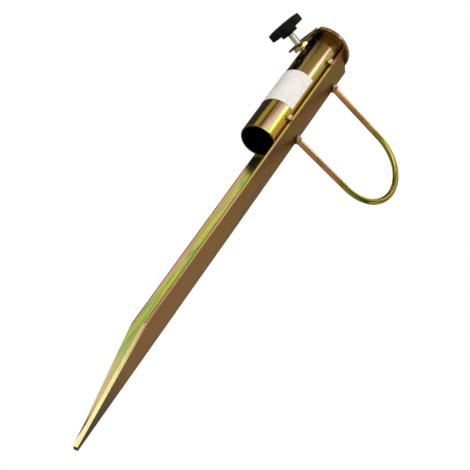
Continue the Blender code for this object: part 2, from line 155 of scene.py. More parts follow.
def make_floor():
    """A pale matte floor, which the camera sees evenly lit."""
    mesh = bpy.data.meshes.new("floor")
    shape = bmesh.new()
    bmesh.ops.create_grid(shape, x_segments=1, y_segments=1, size=FLOOR_HALF_WIDTH)
    shape.to_mesh(mesh)
    shape.free()
    floor = bpy.data.objects.new("floor", mesh)
    floor.location.z = FLOOR_HEIGHT
    bpy.context.scene.collection.objects.link(floor)
    material = bpy.data.materials.new("floor")
    material.use_nodes = True
    nodes, links = material.node_tree.nodes, material.node_tree.links
    matte = nodes["Principled BSDF"]
    matte.inputs["Base Color"].default_value = FLOOR_COLOUR
    matte.inputs["Roughness"].default_value = FLOOR_ROUGHNESS
    pale = nodes.new("ShaderNodeEmission")
    pale.inputs["Color"].default_value = FLOOR_SEEN_COLOUR
    path = nodes.new("ShaderNodeLightPath")
    mix = nodes.new("ShaderNodeMixShader")
    links.new(path.outputs["Is Camera Ray"], mix.inputs["Fac"])
    links.new(matte.outputs["BSDF"], mix.inputs[1])
    links.new(pale.outputs["Emission"], mix.inputs[2])
    links.new(mix.outputs["Shader"], nodes["Material Output"].inputs["Surface"])
    mesh.materials.append(material)


def make_studio():
    make_world()
    make_floor()
    for light in LIGHTS:
        make_softbox(*light)


# Shapes

GAP = 0.0003
FULL_TURN = 2 * math.pi
QUARTER = math.pi / 2
ROUND_STEPS = 144
SHARP_ANGLE = math.radians(40)

TUBE_WALL = 0.002
TUBE_LIP = 0.0005
TUBE_SEAM_ANGLE = math.radians(35)
TUBE_SEAM_HEIGHT = 0.0003
TUBE_SEAM_WIDTH = 0.03
COLLAR_EDGE = 0.0007
# The screw's hole is cut from outside the tube's wall to inside it
HOLE_CUT = (-2 * TUBE_WALL, 3 * TUBE_WALL)

LEG_THICKNESS = 0.004
ROOT_RADIUS = 0.005
TOE_RADIUS = 0.0022
HEEL_RADIUS = 0.0009
POINT_MARGIN = 0.0004
FAR_TAPER_LENGTH = 0.151
NEAR_TAPER_LENGTH = 0.131
SAWN_EDGE = 0.0005
SAW_TOLERANCE = 1e-7

HANDLE_BEND_RADIUS = 0.0440
HANDLE_BEND_STEPS = 96
HANDLE_ROUND_STEPS = 32

PLATE_STEPS = 96
LUG_EDGE = 0.0005
NUT_ACROSS_FLATS = 0.013
NUT_CORNER_RADIUS = 0.0006
HOLE_FLARE = 0.0004
# The nut's corners are turned off at this slope, in rings at these depths, and each has an extra
# step this far to its two sides, in radians
NUT_CORNER_SLOPE = math.radians(30)
NUT_RING_DEPTHS = (0.0, 0.0002, 0.0006, 0.0011, 0.0016)
NUT_CORNER_SIDE = 0.06

THREAD_PITCH = 0.00125
THREAD_DEPTH = 0.0006
# The thread's cut grows by the slope along each flank, less the flat crest, up to the flat root
THREAD_SLOPE = 1.15
THREAD_CREST = 0.08
THREAD_ROOT = 0.95
RINGS_PER_THREAD = 10
ROD_STEPS = 48
ROD_CHAMFER = 0.0009
POINT_EDGE = 0.0006

KNOB_LOBES = 8
KNOB_SCALLOP_RADIUS = 0.0045
KNOB_SCALLOP_DEPTH = 0.0018
KNOB_STEPS = 288
KNOB_EDGE = 0.0011
KNOB_RIM_DROP = 0.0006
KNOB_FILLET = 0.0008
# How sharply a lobe turns into the scallop beside it, for each metre
KNOB_LOBE_SHARPNESS = 9000.0
# The outer face, from the middle out: shares of the knob's reach, and how deep the face lies there
KNOB_DISH = [(0.30, 0.0009), (0.46, 0.0009), (0.52, 0.0002), (0.58, 0.0)]
KNOB_FACE_SHARE = 0.80
KNOB_FACE_DROP = 0.0002
HUB_RADIUS = 0.0095
HUB_LENGTH = 0.0040

LABEL_COLUMNS = 120
LABEL_ROWS = 24
LABEL_LIFT = 0.0004
LABEL_LIFT_POWER = 14
LABEL_WAVE = 0.00010
# Waves for each radian round the label, and for each metre of its height
LABEL_WAVES_AROUND = 2.2
LABEL_WAVES_UP = 70

BEAD_MERGE = 1e-6
BEAD_VOXEL = 0.00028
BEAD_MELT_PASSES = 3
BEAD_ROUGHNESS = 0.00026
# The sink and the shares are shares of the roughness. Lumps and grain are for each metre, and
# ripples in radians for each metre of height and each radian round the tube.
BEAD_SINK = 0.3
BEAD_LUMPS = 420
BEAD_GRAIN = 1300
BEAD_GRAIN_SHARE = 0.5
BEAD_RIPPLES_UP = 7000
BEAD_RIPPLES_AROUND = 90
BEAD_RIPPLE_SHARE = 0.45


def centre_of(node):
    low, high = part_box(node)
    return (low + high) / 2


def in_clamp(x, y, z):
    """A point of the clamp frame, in world space."""
    return SCREW_PLACE + x * SCREW_AXIS + y * SIDEWAYS + z * LUG_UP


def clamp_spans(node):
    """A node's lowest and highest clamp-frame X, and its largest distance from the screw's axis."""
    offsets = [vertex.co - SCREW_PLACE for vertex in frame["nodes"][node].data.vertices]
    along = [offset.dot(SCREW_AXIS) for offset in offsets]
    away = [(offset - x * SCREW_AXIS).length for offset, x in zip(offsets, along)]
    return min(along), max(along), max(away)


def stand_for(piece, node):
    """Lets a piece take a node's place and body."""
    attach(piece, BODY_OF[node])
    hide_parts(node)


def piece_from(shape, node, material):
    """A smooth-shaded piece from a bmesh in world space, which stands for a node."""
    bmesh.ops.recalc_face_normals(shape, faces=shape.faces)
    mesh = bpy.data.meshes.new(node + "_detail")
    shape.to_mesh(mesh)
    shape.free()
    piece = bpy.data.objects.new(node + "_detail", mesh)
    bpy.context.scene.collection.objects.link(piece)
    mesh.materials.append(material)
    mesh.shade_smooth()
    mesh.set_sharp_from_angle(angle=SHARP_ANGLE)
    stand_for(piece, node)
    return piece


def loft(rings, cyclic=False):
    """Skins rings of equally many points. A cyclic loft closes on itself; others get end caps."""
    shape = bmesh.new()
    rows = [[shape.verts.new(point) for point in ring] for ring in rings]
    pairs = list(zip(rows, rows[1:]))
    if cyclic:
        pairs.append((rows[-1], rows[0]))
    for first, second in pairs:
        for i in range(len(first)):
            j = (i + 1) % len(first)
            shape.faces.new((first[i], first[j], second[j], second[i]))
    if not cyclic:
        shape.faces.new(rows[0])
        shape.faces.new(rows[-1])
    return shape


def arc(centre, radius, start, end, steps):
    """The points of an arc, from one angle to another."""
    angles = [start + (end - start) * i / steps for i in range(steps + 1)]
    return [(centre[0] + radius * math.cos(a), centre[1] + radius * math.sin(a)) for a in angles]


def turn_steps(count, extra=()):
    """Equally spaced angles of one turn, with the extra ones among them."""
    angles = {round(FULL_TURN * i / count, 6) for i in range(count)}
    angles |= {round(a % FULL_TURN, 6) for a in extra}
    return sorted(angles)


def clamp_ring(angles, radii, x):
    """A ring round the screw's axis, with a radius for each angle."""
    return [in_clamp(x, r * math.cos(a), r * math.sin(a)) for a, r in zip(angles, radii)]


def round_ring(angles, radius, x):
    """A round ring about the screw's axis."""
    return clamp_ring(angles, [radius] * len(angles), x)


def cut_hole(piece, shape):
    """Cuts a bmesh out of a piece."""
    bmesh.ops.recalc_face_normals(shape, faces=shape.faces)
    mesh = bpy.data.meshes.new("cutter")
    shape.to_mesh(mesh)
    shape.free()
    cutter = bpy.data.objects.new("cutter", mesh)
    bpy.context.scene.collection.objects.link(cutter)
    modifier = piece.modifiers.new("Hole", "BOOLEAN")
    modifier.object = cutter
    apply_modifiers(piece)
    bpy.data.objects.remove(cutter, do_unlink=True)


def apply_modifiers(piece):
    """Puts the modifiers' result in the mesh and takes them off."""
    bpy.context.view_layer.update()
    evaluated = piece.evaluated_get(bpy.context.evaluated_depsgraph_get())
    mesh = bpy.data.meshes.new_from_object(evaluated)
    piece.modifiers.clear()
    piece.data = mesh
    mesh.shade_smooth()
    mesh.set_sharp_from_angle(angle=SHARP_ANGLE)


def soften(piece, width):
    """Rounds a piece's sharp edges a little."""
    bevel = piece.modifiers.new("Edges", "BEVEL")
    bevel.width = width
    bevel.segments = 3
    bevel.limit_method = "ANGLE"
    bevel.angle_limit = SHARP_ANGLE
    bevel.harden_normals = True


def make_tube(material):
    """The socket tube with rolled lips, the ridge of its inner weld seam, and the screw's hole."""
    low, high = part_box("socket_tube")
    outer = high.x
    inner = outer - TUBE_WALL
    lip = TUBE_LIP
    profile = arc((outer - lip, high.z - lip), lip, QUARTER, 0, steps=4)
    profile += arc((outer - lip, low.z + lip), lip, 0, -QUARTER, steps=4)
    profile += arc((inner + lip, low.z + lip), lip, -QUARTER, -2 * QUARTER, steps=4)
    profile += arc((inner + lip, high.z - lip), lip, 2 * QUARTER, QUARTER, steps=4)
    rings = []
    for radius, z in profile:
        ring = []
        for a in turn_steps(ROUND_STEPS):
            off_seam = (a - TUBE_SEAM_ANGLE) / TUBE_SEAM_WIDTH
            seam = TUBE_SEAM_HEIGHT * math.exp(-(off_seam**2)) if radius < inner + lip / 2 else 0
            reach = radius - seam
            ring.append((reach * math.cos(a), reach * math.sin(a), z))
        rings.append(ring)
    piece = piece_from(loft(rings, cyclic=True), "socket_tube", material)
    hole_radius = clamp_spans("screw_rod")[2] + HOLE_FLARE
    steps = turn_steps(ROD_STEPS)
    cut_hole(piece, loft([round_ring(steps, hole_radius, x) for x in HOLE_CUT]))


def make_collar(material):
    """The collar plate with broken edges, cut flat along the lug's inner face."""
    low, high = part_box("top_collar")
    outer = high.x
    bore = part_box("socket_tube")[1].x + GAP
    edge = COLLAR_EDGE
    flat_x = clamp_spans("screw_lug")[1] + GAP
    profile = [(bore, high.z)]
    profile += arc((outer - edge, high.z - edge), edge, QUARTER, 0, steps=4)
    profile += arc((outer - edge, low.z + edge), edge, 0, -QUARTER, steps=4)
    profile += [(bore, low.z)]
    steps = turn_steps(ROUND_STEPS)
    rings = []
    for radius, z in profile:
        flat_distance = -in_clamp(flat_x, 0, 0).x - (z - SCREW_PLACE.z) * LUG_UP.x / LUG_UP.z
        inset = outer - radius
        ring = []
        for a in steps:
            reach = radius
            if math.cos(a) < 0 and radius > bore:
                reach = min(radius, (flat_distance - inset) / -math.cos(a))
            ring.append((reach * math.cos(a), reach * math.sin(a), z))
        rings.append(ring)
    piece_from(loft(rings, cyclic=True), "top_collar", material)


def make_angle(material):
    """The rolled angle: round heel, root and toes, sawn down to its point with the edges broken."""
    low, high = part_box("spike_angle")
    width = high.y * math.sqrt(2)
    root = LEG_THICKNESS + ROOT_RADIUS
    toe_low = LEG_THICKNESS - TOE_RADIUS
    toe_out = width - TOE_RADIUS
    outline = arc((HEEL_RADIUS, HEEL_RADIUS), HEEL_RADIUS, 2 * QUARTER, 3 * QUARTER, steps=5)
    outline += [(width, 0)]
    outline += arc((toe_out, toe_low), TOE_RADIUS, 0, QUARTER, steps=10)
    outline += arc((root, root), ROOT_RADIUS, 3 * QUARTER, 2 * QUARTER, steps=12)
    outline += arc((toe_low, toe_out), TOE_RADIUS, 0, QUARTER, steps=10)
    outline += [(0, width)]
    heel = Vector((high.x, 0, 0))
    far_way = Vector((-1, 1, 0)).normalized()
    near_way = Vector((-1, -1, 0)).normalized()
    rings = []
    for z in (low.z, high.z):
        rings.append([heel + u * far_way + v * near_way + Vector((0, 0, z)) for u, v in outline])
    shape = loft(rings)
    point_width = LEG_THICKNESS + POINT_MARGIN
    for way, length in ((far_way, FAR_TAPER_LENGTH), (near_way, NEAR_TAPER_LENGTH)):
        place = heel + point_width * way + Vector((0, 0, low.z))
        normal = way * length - Vector((0, 0, width - point_width))
        everything = shape.verts[:] + shape.edges[:] + shape.faces[:]
        plane = {"plane_co": place, "plane_no": normal, "dist": SAW_TOLERANCE}
        bmesh.ops.bisect_plane(shape, geom=everything, clear_outer=True, **plane)
        rim = [edge for edge in shape.edges if edge.is_boundary]
        bmesh.ops.holes_fill(shape, edges=rim)
    piece = piece_from(shape, "spike_angle", material)
    soften(piece, SAWN_EDGE)


def make_handle(material):
    """The U of round bar, with its legs tangent to the bend."""
    low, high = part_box("handle_bar")
    radius = high.y
    start_x = low.x
    middle_z = (low.z + high.z) / 2
    middle_x = high.x - radius - HANDLE_BEND_RADIUS
    root = (high.z - low.z) / 2 - radius
    leg_run = middle_x - start_x
    lean = math.asin(HANDLE_BEND_RADIUS / math.hypot(leg_run, root))
    tangent = math.atan2(leg_run, root) + lean
    path = [(start_x, middle_z + root)]
    path += arc((middle_x, middle_z), HANDLE_BEND_RADIUS, tangent, -tangent, HANDLE_BEND_STEPS)
    path += [(start_x, middle_z - root)]
    rings = []
    for i, (x, z) in enumerate(path):
        before, after = path[max(i - 1, 0)], path[min(i + 1, len(path) - 1)]
        along = Vector((after[0] - before[0], 0, after[1] - before[1])).normalized()
        across = along.cross(SIDEWAYS)
        ring = []
        for a in turn_steps(HANDLE_ROUND_STEPS):
            away = math.cos(a) * across + math.sin(a) * SIDEWAYS
            ring.append(Vector((x, 0, z)) + radius * away)
        rings.append(ring)
    piece_from(loft(rings), "handle_bar", material)


def make_lug(material):
    """The lug plate with rounded edges and its screw hole."""
    outer_x, inner_x, _ = clamp_spans("screw_lug")
    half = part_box("screw_lug")[1].y
    offsets = [vertex.co - SCREW_PLACE for vertex in frame["nodes"]["screw_lug"].data.vertices]
    rise = max(offset.dot(LUG_UP) for offset in offsets)
    corner = math.atan2(rise, half)
    steps = turn_steps(PLATE_STEPS, (corner, math.pi - corner))
    hole = clamp_spans("screw_rod")[2] + HOLE_FLARE
    edge = LUG_EDGE
    profile = arc((edge, outer_x + edge), edge, 3 * QUARTER, 2 * QUARTER, steps=3)
    profile += arc((edge, inner_x - edge), edge, 2 * QUARTER, QUARTER, steps=3)
    rings = []
    for inset, x in profile:
        rings.append(clamp_ring(steps, lug_radii(steps, half - inset, rise - inset), x))
    for x in (inner_x, outer_x):
        rings.append(round_ring(steps, hole, x))
    piece_from(loft(rings, cyclic=True), "screw_lug", material)


def lug_radii(steps, half, rise):
    """The lug's outline by angle: a half circle below the screw's axis, a rectangle above it."""
    radii = []
    for a in steps:
        if math.sin(a) <= 0:
            radii.append(half)
        else:
            radii.append(min(half / max(abs(math.cos(a)), 1e-6), rise / math.sin(a)))
    return radii


def make_nut(material):
    """The square nut: corners rounded and turned off on the outer face, bore flared."""
    outer_x, inner_x, _ = clamp_spans("clamp_nut")
    flat = NUT_ACROSS_FLATS / 2
    bore = clamp_spans("screw_rod")[2] + HOLE_FLARE
    corners = [QUARTER * (i + 0.5) for i in range(4)]
    near_corners = [c + side * NUT_CORNER_SIDE for c in corners for side in (-1, 1)]
    steps = turn_steps(PLATE_STEPS, corners + near_corners)
    square = [flat / max(abs(math.cos(a)), abs(math.sin(a))) for a in steps]
    square = [min(r, flat * math.sqrt(2) - NUT_CORNER_RADIUS) for r in square]
    rings = []
    for depth in NUT_RING_DEPTHS:
        turned_off = flat + depth / math.tan(NUT_CORNER_SLOPE)
        rings.append(clamp_ring(steps, [min(r, turned_off) for r in square], outer_x + depth))
    rings.append(clamp_ring(steps, square, inner_x - HOLE_FLARE))
    rings.append(clamp_ring(steps, [r - HOLE_FLARE for r in square], inner_x))
    rings.append(round_ring(steps, bore + HOLE_FLARE, inner_x))
    rings.append(round_ring(steps, bore, inner_x - HOLE_FLARE))
    rings.append(round_ring(steps, bore, outer_x + HOLE_FLARE))
    rings.append(round_ring(steps, bore + HOLE_FLARE, outer_x))
    piece_from(loft(rings, cyclic=True), "clamp_nut", material)


def make_rod(material):
    """The rod's right-hand thread, with flat crests and roots, cut down at both chamfered ends."""
    start, end, radius = clamp_spans("screw_rod")
    steps = turn_steps(ROD_STEPS)
    count = round((end - start) / THREAD_PITCH * RINGS_PER_THREAD)
    rings = []
    for i in range(count + 1):
        x = start + (end - start) * i / count
        limit = radius - max(0.0, ROD_CHAMFER - (end - x), ROD_CHAMFER - (x - start))
        ring = []
        for a in steps:
            phase = (x / THREAD_PITCH - a / FULL_TURN) % 1.0
            flank = abs(2 * phase - 1)
            cut = THREAD_DEPTH * min(max(THREAD_SLOPE * flank - THREAD_CREST, 0.0), THREAD_ROOT)
            ring.append(min(radius - cut, limit))
        rings.append(clamp_ring(steps, ring, x))
    piece_from(loft(rings), "screw_rod", material)


def make_point(material):
    """The turned end of the screw, its rim worn round."""
    start, end, radius = clamp_spans("screw_point")
    steps = turn_steps(ROD_STEPS)
    profile = [(start, radius - POINT_EDGE / 3), (start + POINT_EDGE / 3, radius)]
    centre = (radius - POINT_EDGE, end - POINT_EDGE)
    profile += [(x, r) for r, x in arc(centre, POINT_EDGE, 0, QUARTER, steps=5)]
    rings = [round_ring(steps, r, x) for x, r in profile]
    piece_from(loft(rings), "screw_point", material)


def lobe_radius(a, reach):
    """The star's rim at an angle: a circle with a shallow scallop between each two lobes."""
    pitch = FULL_TURN / KNOB_LOBES
    off = (a % pitch) - pitch / 2
    middle = reach - KNOB_SCALLOP_DEPTH + KNOB_SCALLOP_RADIUS
    inside = KNOB_SCALLOP_RADIUS**2 - (middle * math.sin(off)) ** 2
    rim = reach if inside <= 0 else middle * math.cos(off) - math.sqrt(inside)
    blended = math.exp(-KNOB_LOBE_SHARPNESS * (rim - reach)) + 1
    return reach - (math.log(blended) - math.log(2) / 2) / KNOB_LOBE_SHARPNESS


def make_knob(material):
    """The star knob: soft-edged lobes, a hub with a fillet, a shallow dish in its outer face."""
    outer_x, hub_end, reach = clamp_spans("star_knob")
    inner_x = hub_end - HUB_LENGTH
    steps = turn_steps(KNOB_STEPS)
    full = [min(lobe_radius(a + QUARTER, reach), reach) for a in steps]
    rim = outer_x + KNOB_RIM_DROP
    edge = KNOB_EDGE
    rings = []
    for share, depth in KNOB_DISH:
        rings.append(round_ring(steps, share * reach, outer_x + depth))
    rings.append(clamp_ring(steps, [KNOB_FACE_SHARE * r for r in full], outer_x + KNOB_FACE_DROP))
    rounded = arc((edge, rim + edge), edge, 3 * QUARTER, 2 * QUARTER, steps=5)
    rounded += arc((edge, inner_x - edge), edge, 2 * QUARTER, QUARTER, steps=5)
    for back, x in rounded:
        rings.append(clamp_ring(steps, [r - back for r in full], x))
    foot = (HUB_RADIUS + KNOB_FILLET, inner_x + KNOB_FILLET)
    hub = arc(foot, KNOB_FILLET, 3 * QUARTER, 2 * QUARTER, steps=4)
    hub += arc((HUB_RADIUS - KNOB_FILLET, hub_end - KNOB_FILLET), KNOB_FILLET, 0, QUARTER, steps=4)
    for r, x in hub:
        rings.append(round_ring(steps, r, x))
    rod_start, _, rod_radius = clamp_spans("screw_rod")
    bore = rod_radius + GAP
    rings.append(round_ring(steps, bore + GAP, hub_end))
    rings.append(round_ring(steps, bore, hub_end - GAP))
    rings.append(round_ring(steps, bore, rod_start - GAP))
    piece_from(loft(rings), "star_knob", material)


def make_label(material):
    """The paper label: one thin sheet round the tube, a little wavy, with its two ends lifting."""
    low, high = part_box("paper_label")
    outer = -low.x
    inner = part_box("socket_tube")[1].x + GAP / 2
    half_angle = QUARTER + math.asin(high.x / outer)
    rings = []
    for i in range(LABEL_COLUMNS + 1):
        share = 2 * i / LABEL_COLUMNS - 1
        a = math.pi + share * half_angle
        lift = LABEL_LIFT * abs(share) ** LABEL_LIFT_POWER
        outside, inside = [], []
        for j in range(LABEL_ROWS + 1):
            z = low.z + (high.z - low.z) * j / LABEL_ROWS
            spot = Vector((a * LABEL_WAVES_AROUND, z * LABEL_WAVES_UP, 0.3))
            wave = LABEL_WAVE * (1 + noise.noise(spot))
            reach = outer - 2 * LABEL_WAVE + wave + lift
            outside.append((reach * math.cos(a), reach * math.sin(a), z))
            inside.append(((inner + lift) * math.cos(a), (inner + lift) * math.sin(a), z))
        rings.append(outside + inside[::-1])
    piece_from(loft(rings), "paper_label", material)


def make_bead(node, material):
    """A weld bead: the node's solid melted soft, with ripples and lumps."""
    shape = bmesh.new()
    shape.from_mesh(frame["nodes"][node].data)
    bmesh.ops.remove_doubles(shape, verts=shape.verts, dist=BEAD_MERGE)
    piece = piece_from(shape, node, material)
    remesh = piece.modifiers.new("Melt", "REMESH")
    remesh.mode = "VOXEL"
    remesh.voxel_size = BEAD_VOXEL
    apply_modifiers(piece)
    centre = centre_of(node)
    melted = bmesh.new()
    melted.from_mesh(piece.data)
    axes = {"use_axis_x": True, "use_axis_y": True, "use_axis_z": True}
    for _ in range(BEAD_MELT_PASSES):
        bmesh.ops.smooth_vert(melted, verts=melted.verts, factor=0.5, **axes)
    melted.normal_update()
    for vertex in melted.verts:
        grain = BEAD_GRAIN_SHARE * noise.noise(vertex.co * BEAD_GRAIN)
        lumps = noise.noise(vertex.co * BEAD_LUMPS) + grain
        around = math.atan2(vertex.co.y, vertex.co.x)
        phase = (vertex.co - centre).z * BEAD_RIPPLES_UP + around * BEAD_RIPPLES_AROUND
        ripples = BEAD_RIPPLE_SHARE * math.sin(phase)
        vertex.co += vertex.normal * BEAD_ROUGHNESS * (lumps + ripples - BEAD_SINK)
    melted.to_mesh(piece.data)
    melted.free()
    piece.data.materials.clear()
    piece.data.materials.append(material)
    piece.data.shade_smooth()


# Materials


class Shader:
    """A new material with a Principled BSDF, and short calls for the nodes that feed it."""

    def __init__(self, name, roughness, metallic):
        self.material = bpy.data.materials.new(name)
        self.material.use_nodes = True
        self.tree = self.material.node_tree
        self.bsdf = self.tree.nodes["Principled BSDF"]
        self.bsdf.inputs["Roughness"].default_value = roughness
        self.bsdf.inputs["Metallic"].default_value = metallic
        self.place = self.node("ShaderNodeTexCoord").outputs["Object"]

    def node(self, kind, **settings):
        """A new node with its settings made."""
        made = self.tree.nodes.new(kind)
        for key, value in settings.items():
            setattr(made, key, value)
        return made

    def link(self, source, target):
        self.tree.links.new(source, target)

    def scaled(self, scale):
        """The object's coordinates in metres, times a scale for each axis."""
        mapping = self.node("ShaderNodeMapping")
        mapping.inputs["Scale"].default_value = scale
        self.link(self.place, mapping.inputs["Vector"])
        return mapping.outputs["Vector"]

    def noise(self, scale, detail, roughness=0.5, distortion=0.0):
        """Noise with the given number of features for each metre along X, Y and Z."""
        node = self.node("ShaderNodeTexNoise")
        node.inputs["Scale"].default_value = 1.0
        node.inputs["Detail"].default_value = detail
        node.inputs["Roughness"].default_value = roughness
        node.inputs["Distortion"].default_value = distortion
        self.link(self.scaled(scale), node.inputs["Vector"])
        return node.outputs["Fac"]

    def ramp(self, factor, stops):
        """A colour that runs through the stops, each a position and a colour."""
        node = self.node("ShaderNodeValToRGB")
        elements = node.color_ramp.elements
        while len(elements) < len(stops):
            elements.new(1.0)
        for element, (position, colour) in zip(elements, stops):
            element.position = position
            element.color = (*colour, 1.0)
        self.link(factor, node.inputs["Fac"])
        return node.outputs["Color"]

    def math(self, operation, first, second=None, third=None):
        """A Math node, each of whose inputs is a number or an output."""
        node = self.node("ShaderNodeMath", operation=operation)
        for socket, value in zip(node.inputs, (first, second, third)):
            if value is None:
                continue
            if isinstance(value, (int, float)):
                socket.default_value = value
            else:
                self.link(value, socket)
        return node.outputs["Value"]

    def mix(self, factor, first, second):
        """Blends two colours, each a tuple or an output."""
        node = self.node("ShaderNodeMix", data_type="RGBA")
        self.link(factor, node.inputs[0])
        for socket, value in ((node.inputs[6], first), (node.inputs[7], second)):
            if isinstance(value, tuple):
                socket.default_value = (*value, 1.0)
            else:
                self.link(value, socket)
        return node.outputs[2]

    def step(self, value, low, high):
        """Rises smoothly from 0 at low to 1 at high."""
        node = self.node("ShaderNodeMapRange", interpolation_type="SMOOTHSTEP")
        node.inputs["From Min"].default_value = low
        node.inputs["From Max"].default_value = high
        self.link(value, node.inputs["Value"])
        return node.outputs["Result"]

    def between(self, value, low, high):
        """Maps a 0 to 1 value to a range."""
        node = self.node("ShaderNodeMapRange")
        node.inputs["To Min"].default_value = low
        node.inputs["To Max"].default_value = high
        self.link(value, node.inputs["Value"])
        return node.outputs["Result"]

    def split(self, vector):
        node = self.node("ShaderNodeSeparateXYZ")
        self.link(vector, node.inputs["Vector"])
        return node.outputs["X"], node.outputs["Y"], node.outputs["Z"]

    def bump(self, height, strength, distance):
        node = self.node("ShaderNodeBump")
        node.inputs["Strength"].default_value = strength
        node.inputs["Distance"].default_value = distance
        self.link(height, node.inputs["Height"])
        self.link(node.outputs["Normal"], self.bsdf.inputs["Normal"])

    def colour(self, value):
        self.link(value, self.bsdf.inputs["Base Color"])

    def roughness(self, value):
        self.link(value, self.bsdf.inputs["Roughness"])


# Colours of the chromate film on zinc, as it thickens, with the painted shade, dark reflection and highlight
# colours marked among them
OLIVE = (0.26, 0.21, 0.020)
GOLD = (0.52, 0.42, 0.050)
AMBER = (0.52, 0.27, 0.045)
ROSE = (0.50, 0.20, 0.115)
PINK = (0.78, 0.34, 0.27)
LIME = (0.60, 0.58, 0.090)
GREEN = (0.20, 0.42, 0.10)
TEAL = (0.050, 0.105, 0.065)
TAN = (0.46, 0.24, 0.11)
BROWN = (0.27, 0.120, 0.048)
RUST = (0.40, 0.150, 0.035)
DARK_OLIVE = (0.25, 0.17, 0.030)
PLUM = (0.20, 0.088, 0.082)
COPPER = (0.68, 0.30, 0.095)
HANDLE_LIME = (0.27, 0.29, 0.030)
HANDLE_COPPER = (0.52, 0.25, 0.085)
HANDLE_UMBER = (0.36, 0.19, 0.050)
OLIVE_GOLD = (0.30, 0.215, 0.020)
LIME_GOLD = (0.52, 0.46, 0.025)
# Painted shade: near black for the bore, where the light does not reach into the tube
BORE_PAINTED_SHADE = (0.012, 0.012, 0.010)
# The colour towards which the painted shade dims the tube's top
BRONZE = (0.30, 0.19, 0.045)
# Painted dark reflection: the near-black band on the tube's shaded side
PAINTED_DARK_REFLECTION = (0.14, 0.115, 0.045)
# Painted highlight: the pale bands stand for the tube's bright highlight strip
PAINTED_HIGHLIGHT_PINK = (0.78, 0.56, 0.46)
PAINTED_HIGHLIGHT_LIME = (0.88, 0.88, 0.34)
SAND = (0.58, 0.36, 0.19)
STRAW = (0.86, 0.74, 0.40)

# The bands round the tube, from the side opposite the handle all the way round, as shares of a turn. The dark
# bands at both ends are a painted dark reflection, and the pale pink and pale lime bands a painted highlight.
TUBE_BANDS = [
    (0.000, PAINTED_DARK_REFLECTION),
    (0.075, PAINTED_DARK_REFLECTION),
    (0.115, OLIVE_GOLD),
    (0.155, OLIVE_GOLD),
    (0.180, ROSE),
    (0.205, PAINTED_HIGHLIGHT_PINK),
    (0.235, PAINTED_HIGHLIGHT_LIME),
    (0.262, LIME_GOLD),
    (0.310, AMBER),
    (0.380, COPPER),
    (0.480, OLIVE),
    (0.580, ROSE),
    (0.680, GOLD),
    (0.780, OLIVE_GOLD),
    (0.880, AMBER),
    (1.000, PAINTED_DARK_REFLECTION),
]

# How far the bands climb round the tube, in turns for each metre of height, and how far they stray
BAND_CLIMB = 0.36
BAND_DRIFT = 0.07
BAND_FRAY = 0.035

# Painted shade: the tube's bands, its painted highlight with them, dim to bronze towards its top by this share,
# between these heights
TOP_PAINTED_SHADE = 0.55
TOP_PAINTED_SHADE_START = 0.045
TOP_PAINTED_SHADE_END = 0.085
TOP_PAINTED_SHADE_DRIFT = 0.05

# The angle's colours by patch outside the V and by streak inside it, as positions in the noise
OUTSIDE_PATCHES = [(0.32, PLUM), (0.42, BROWN), (0.50, DARK_OLIVE), (0.58, BROWN), (0.68, RUST)]
WARM_STREAKS = [(0.30, SAND), (0.42, PINK), (0.50, SAND), (0.60, GOLD), (0.74, SAND)]
COOL_STREAKS = [(0.30, GREEN), (0.42, LIME), (0.52, GREEN), (0.62, LIME), (0.72, GOLD)]
ANGLE_SHEEN = (0.74, 0.66, 0.56, 1.0)

# The handle's colours, from its legs' ends to the bend
HANDLE_FILM = [
    (0.00, HANDLE_COPPER),
    (0.22, HANDLE_UMBER),
    (0.42, HANDLE_COPPER),
    (0.56, OLIVE_GOLD),
    (0.75, HANDLE_LIME),
    (1.00, OLIVE_GOLD),
]
HANDLE_DRIFT = 0.035

# The two tones of each small piece, the knob and the label
COLLAR_TONES = ((0.17, 0.12, 0.030), (0.36, 0.20, 0.070))
# Painted shade: the lug's tones are near black for the dark reflection on its outer face
LUG_PAINTED_SHADE_TONES = ((0.07, 0.065, 0.03), (0.13, 0.10, 0.045))
NUT_TONES = ((0.50, 0.32, 0.09), (0.62, 0.44, 0.14))
SCREW_TONES = ((0.74, 0.77, 0.64), (0.84, 0.85, 0.76))
WELD_TONES = ((0.70, 0.56, 0.24), (0.86, 0.70, 0.48))
# Painted shade: the welds off the tube are dark for the shadow they sit in
WELD_PAINTED_SHADE_TONES = ((0.20, 0.15, 0.05), (0.34, 0.25, 0.10))
KNOB_TONES = ((0.0035, 0.0035, 0.003), (0.007, 0.0065, 0.005))
LABEL_TONES = ((0.78, 0.74, 0.70), (0.86, 0.82, 0.78))

PLATED_RELIEF = 0.0004
KNOB_RELIEF = 0.0003
LABEL_RELIEF = 0.0004


def plated(name, roughness, relief=0.05):
    """The grain that all the plated steel has: fine pits and drawn streaks in the gloss."""
    shader = Shader(name, roughness, 1.0)
    streaks = shader.noise((500, 500, 18), detail=4)
    shader.roughness(shader.between(streaks, roughness - 0.06, roughness + 0.08))
    pits = shader.noise((900, 900, 900), detail=2)
    shader.bump(shader.math("MULTIPLY_ADD", pits, 0.5, streaks), relief, PLATED_RELIEF)
    return shader


